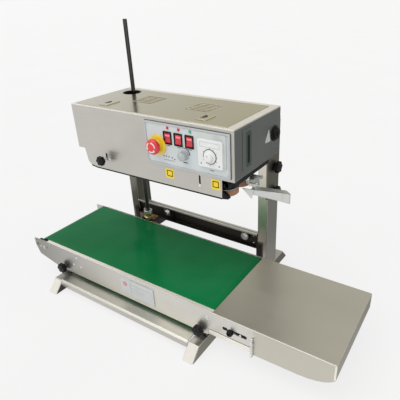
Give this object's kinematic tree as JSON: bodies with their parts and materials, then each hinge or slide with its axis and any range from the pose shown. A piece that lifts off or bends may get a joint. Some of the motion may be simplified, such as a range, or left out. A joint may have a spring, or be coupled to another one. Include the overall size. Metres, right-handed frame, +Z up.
{
  "type": "continuous band sealer",
  "caption": "Bag sealing machine: a head with sealing bands slides on two posts above a short belt conveyor with an extension table, all on a welded stand.",
  "frame": {"origin": "centre of the footprint on the floor, at the bottom centre of the bounding box", "axes": "+X along the conveyor towards the extension table, -Y towards the operator and the control panel, +Z up"},
  "size_m": [1.035, 0.568, 0.788],
  "materials": {
    "stainless": "satin brushed stainless sheet",
    "lid": "bright stainless sheet",
    "belt": "smooth green belt face",
    "black_steel": "blackened or black painted steel",
    "bright_steel": "turned bright steel",
    "aluminium": "plain aluminium",
    "brass": "turned brass",
    "ptfe": "brown coated fibre band",
    "press_rubber": "black rubber",
    "black_plastic": "black moulded plastic",
    "panel_face": "light grey printed panel",
    "red_plastic": "red moulded plastic",
    "yellow_plastic": "yellow moulded plastic",
    "grey_plastic": "light grey moulded plastic",
    "white_plastic": "white moulded plastic"
  },
  "bodies": {
    "base": {"foot_left": "stainless", "foot_right": "stainless", "post_left": "stainless", "post_right": "stainless", "base_front_beam": "stainless", "rear_beam": "black_steel", "saddle_left": "black_steel", "saddle_right": "black_steel", "frame_plate_front": "stainless", "frame_plate_rear": "stainless", "slider_bed": "stainless", "conveyor_belt": "belt", "extension_table": "stainless", "table_rail": "bright_steel", "cross_shaft_bearing": "aluminium", "drive_chain": "black_steel", "shaft_bracket": "black_steel", "shaft_bush": "brass"},
    "head": {"carriage_bar": "stainless", "slide_bracket_left": "black_steel", "slide_bracket_right": "black_steel", "head_casing": "stainless", "head_lid": "lid", "head_base_plate": "stainless", "guard_plate": "stainless", "gear_motor": "black_steel", "front_band": "ptfe", "rear_band": "ptfe", "heater_front": "brass", "heater_rear": "brass", "infeed_guide": "aluminium", "control_panel": "panel_face", "estop_base": "yellow_plastic", "thermostat": "white_plastic"},
    "drive_roller": {"drive_roller": "bright_steel"},
    "tail_roller": {"tail_roller": "bright_steel"},
    "cross_shaft": {"cross_shaft": "bright_steel"},
    "drive_shaft": {"drive_shaft": "black_steel", "shaft_bevel_gear": "brass"},
    "conveyor_knob_left": {"conveyor_knob_left": "black_plastic"},
    "conveyor_knob_right": {"conveyor_knob_right": "black_plastic"},
    "clamp_knob_left_upper": {"clamp_knob_left_upper": "black_plastic"},
    "clamp_knob_left_lower": {"clamp_knob_left_lower": "black_plastic"},
    "clamp_knob_right_upper": {"clamp_knob_right_upper": "black_plastic"},
    "clamp_knob_right_lower": {"clamp_knob_right_lower": "black_plastic"},
    "front_drive_wheel": {"front_drive_wheel": "bright_steel"},
    "rear_drive_wheel": {"rear_drive_wheel": "bright_steel"},
    "front_idle_wheel": {"front_idle_wheel": "aluminium"},
    "rear_idle_wheel": {"rear_idle_wheel": "aluminium"},
    "sleeve_gear": {"sleeve_gear": "bright_steel"},
    "motor_pinion": {"motor_pinion": "bright_steel"},
    "press_wheel_front": {"press_wheel_front": "press_rubber"},
    "press_wheel_rear": {"press_wheel_rear": "press_rubber"},
    "estop_button": {"estop_button": "red_plastic"},
    "rocker_switch_1": {"rocker_switch_1": "red_plastic"},
    "rocker_switch_2": {"rocker_switch_2": "red_plastic"},
    "rocker_switch_3": {"rocker_switch_3": "red_plastic"},
    "speed_knob": {"speed_knob": "grey_plastic"},
    "thermostat_dial": {"thermostat_dial": "white_plastic"},
    "pressure_knob": {"pressure_knob": "black_plastic"}
  },
  "joints": [
    {"name": "head_slide", "type": "slide", "parent": "base", "child": "head", "axis": [0, 0, 1], "range_m": [-0.085, 0.04]},
    {"name": "drive_roller_spin", "type": "hinge", "parent": "base", "child": "drive_roller", "pos_m": [-0.4723, 0, 0.1078], "axis": [0, 1, 0], "continuous": true},
    {"name": "tail_roller_spin", "type": "hinge", "parent": "base", "child": "tail_roller", "pos_m": [0.1785, 0, 0.1078], "axis": [0, 1, 0], "continuous": true},
    {"name": "cross_shaft_spin", "type": "hinge", "parent": "base", "child": "cross_shaft", "pos_m": [-0.2615, 0, 0.1078], "axis": [0, 1, 0], "continuous": true},
    {"name": "drive_shaft_spin", "type": "hinge", "parent": "base", "child": "drive_shaft", "pos_m": [-0.2615, 0.066, 0], "axis": [0, 0, 1], "continuous": true},
    {"name": "sleeve_gear_spin", "type": "hinge", "parent": "head", "child": "sleeve_gear", "pos_m": [-0.2615, 0.066, 0.475], "axis": [0, 0, 1], "continuous": true},
    {"name": "rear_drive_wheel_spin", "type": "hinge", "parent": "head", "child": "rear_drive_wheel", "pos_m": [-0.2615, -0.011, 0.41], "axis": [0, 0, 1], "continuous": true},
    {"name": "front_drive_wheel_spin", "type": "hinge", "parent": "head", "child": "front_drive_wheel", "pos_m": [-0.2615, -0.073, 0.41], "axis": [0, 0, 1], "continuous": true},
    {"name": "rear_idle_wheel_spin", "type": "hinge", "parent": "head", "child": "rear_idle_wheel", "pos_m": [0.157, -0.011, 0.41], "axis": [0, 0, 1], "continuous": true},
    {"name": "front_idle_wheel_spin", "type": "hinge", "parent": "head", "child": "front_idle_wheel", "pos_m": [0.157, -0.073, 0.41], "axis": [0, 0, 1], "continuous": true},
    {"name": "motor_pinion_spin", "type": "hinge", "parent": "head", "child": "motor_pinion", "pos_m": [-0.2145, -0.011, 0.475], "axis": [0, 0, 1], "continuous": true},
    {"name": "press_wheel_front_spin", "type": "hinge", "parent": "head", "child": "press_wheel_front", "pos_m": [-0.16, -0.058, 0.41], "axis": [0, 0, 1], "continuous": true},
    {"name": "press_wheel_rear_spin", "type": "hinge", "parent": "head", "child": "press_wheel_rear", "pos_m": [-0.16, -0.026, 0.41], "axis": [0, 0, 1], "continuous": true},
    {"name": "estop_press", "type": "slide", "parent": "head", "child": "estop_button", "axis": [0, 1, 0], "range_m": [0, 0.004]},
    {"name": "rocker_1_tilt", "type": "hinge", "parent": "head", "child": "rocker_switch_1", "pos_m": [0.018, -0.112, 0.534], "axis": [1, 0, 0], "range_deg": [-10, 10]},
    {"name": "rocker_2_tilt", "type": "hinge", "parent": "head", "child": "rocker_switch_2", "pos_m": [0.051, -0.112, 0.534], "axis": [1, 0, 0], "range_deg": [-10, 10]},
    {"name": "rocker_3_tilt", "type": "hinge", "parent": "head", "child": "rocker_switch_3", "pos_m": [0.0845, -0.112, 0.534], "axis": [1, 0, 0], "range_deg": [-10, 10]},
    {"name": "speed_turn", "type": "hinge", "parent": "head", "child": "speed_knob", "pos_m": [0.068, -0.128, 0.498], "axis": [0, 1, 0], "range_deg": [-150, 150]},
    {"name": "thermostat_turn", "type": "hinge", "parent": "head", "child": "thermostat_dial", "pos_m": [0.147, -0.13, 0.5105], "axis": [0, 1, 0], "range_deg": [-150, 150]},
    {"name": "pressure_knob_turn", "type": "hinge", "parent": "head", "child": "pressure_knob", "pos_m": [-0.215, -0.14, 0.436], "axis": [0, 1, 0], "range_deg": [-180, 180]},
    {"name": "conveyor_knob_left_turn", "type": "hinge", "parent": "base", "child": "conveyor_knob_left", "pos_m": [-0.38, -0.23, 0.066], "axis": [0, 1, 0], "range_deg": [-180, 180]},
    {"name": "clamp_knob_left_upper_turn", "type": "hinge", "parent": "head", "child": "clamp_knob_left_upper", "pos_m": [-0.41, 0.158, 0.389], "axis": [1, 0, 0], "range_deg": [-180, 180]},
    {"name": "clamp_knob_left_lower_turn", "type": "hinge", "parent": "head", "child": "clamp_knob_left_lower", "pos_m": [-0.41, 0.158, 0.314], "axis": [1, 0, 0], "range_deg": [-180, 180]},
    {"name": "conveyor_knob_right_turn", "type": "hinge", "parent": "base", "child": "conveyor_knob_right", "pos_m": [0.157, -0.23, 0.066], "axis": [0, 1, 0], "range_deg": [-180, 180]},
    {"name": "clamp_knob_right_upper_turn", "type": "hinge", "parent": "head", "child": "clamp_knob_right_upper", "pos_m": [0.187, 0.158, 0.389], "axis": [1, 0, 0], "range_deg": [-180, 180]},
    {"name": "clamp_knob_right_lower_turn", "type": "hinge", "parent": "head", "child": "clamp_knob_right_lower", "pos_m": [0.187, 0.158, 0.314], "axis": [1, 0, 0], "range_deg": [-180, 180]}
  ],
  "couplings": [
    {"joint": "tail_roller_spin", "follows": "drive_roller_spin", "ratio": 1},
    {"joint": "cross_shaft_spin", "follows": "drive_roller_spin", "ratio": 0.625},
    {"joint": "drive_shaft_spin", "follows": "drive_roller_spin", "ratio": -0.625},
    {"joint": "sleeve_gear_spin", "follows": "drive_roller_spin", "ratio": -0.625},
    {"joint": "rear_drive_wheel_spin", "follows": "drive_roller_spin", "ratio": 0.92742},
    {"joint": "front_drive_wheel_spin", "follows": "drive_roller_spin", "ratio": -0.92742},
    {"joint": "rear_idle_wheel_spin", "follows": "drive_roller_spin", "ratio": 0.92742},
    {"joint": "front_idle_wheel_spin", "follows": "drive_roller_spin", "ratio": -0.92742},
    {"joint": "motor_pinion_spin", "follows": "drive_roller_spin", "ratio": -1.7969},
    {"joint": "press_wheel_front_spin", "follows": "drive_roller_spin", "ratio": -1.9332},
    {"joint": "press_wheel_rear_spin", "follows": "drive_roller_spin", "ratio": 1.9332}
  ]
}
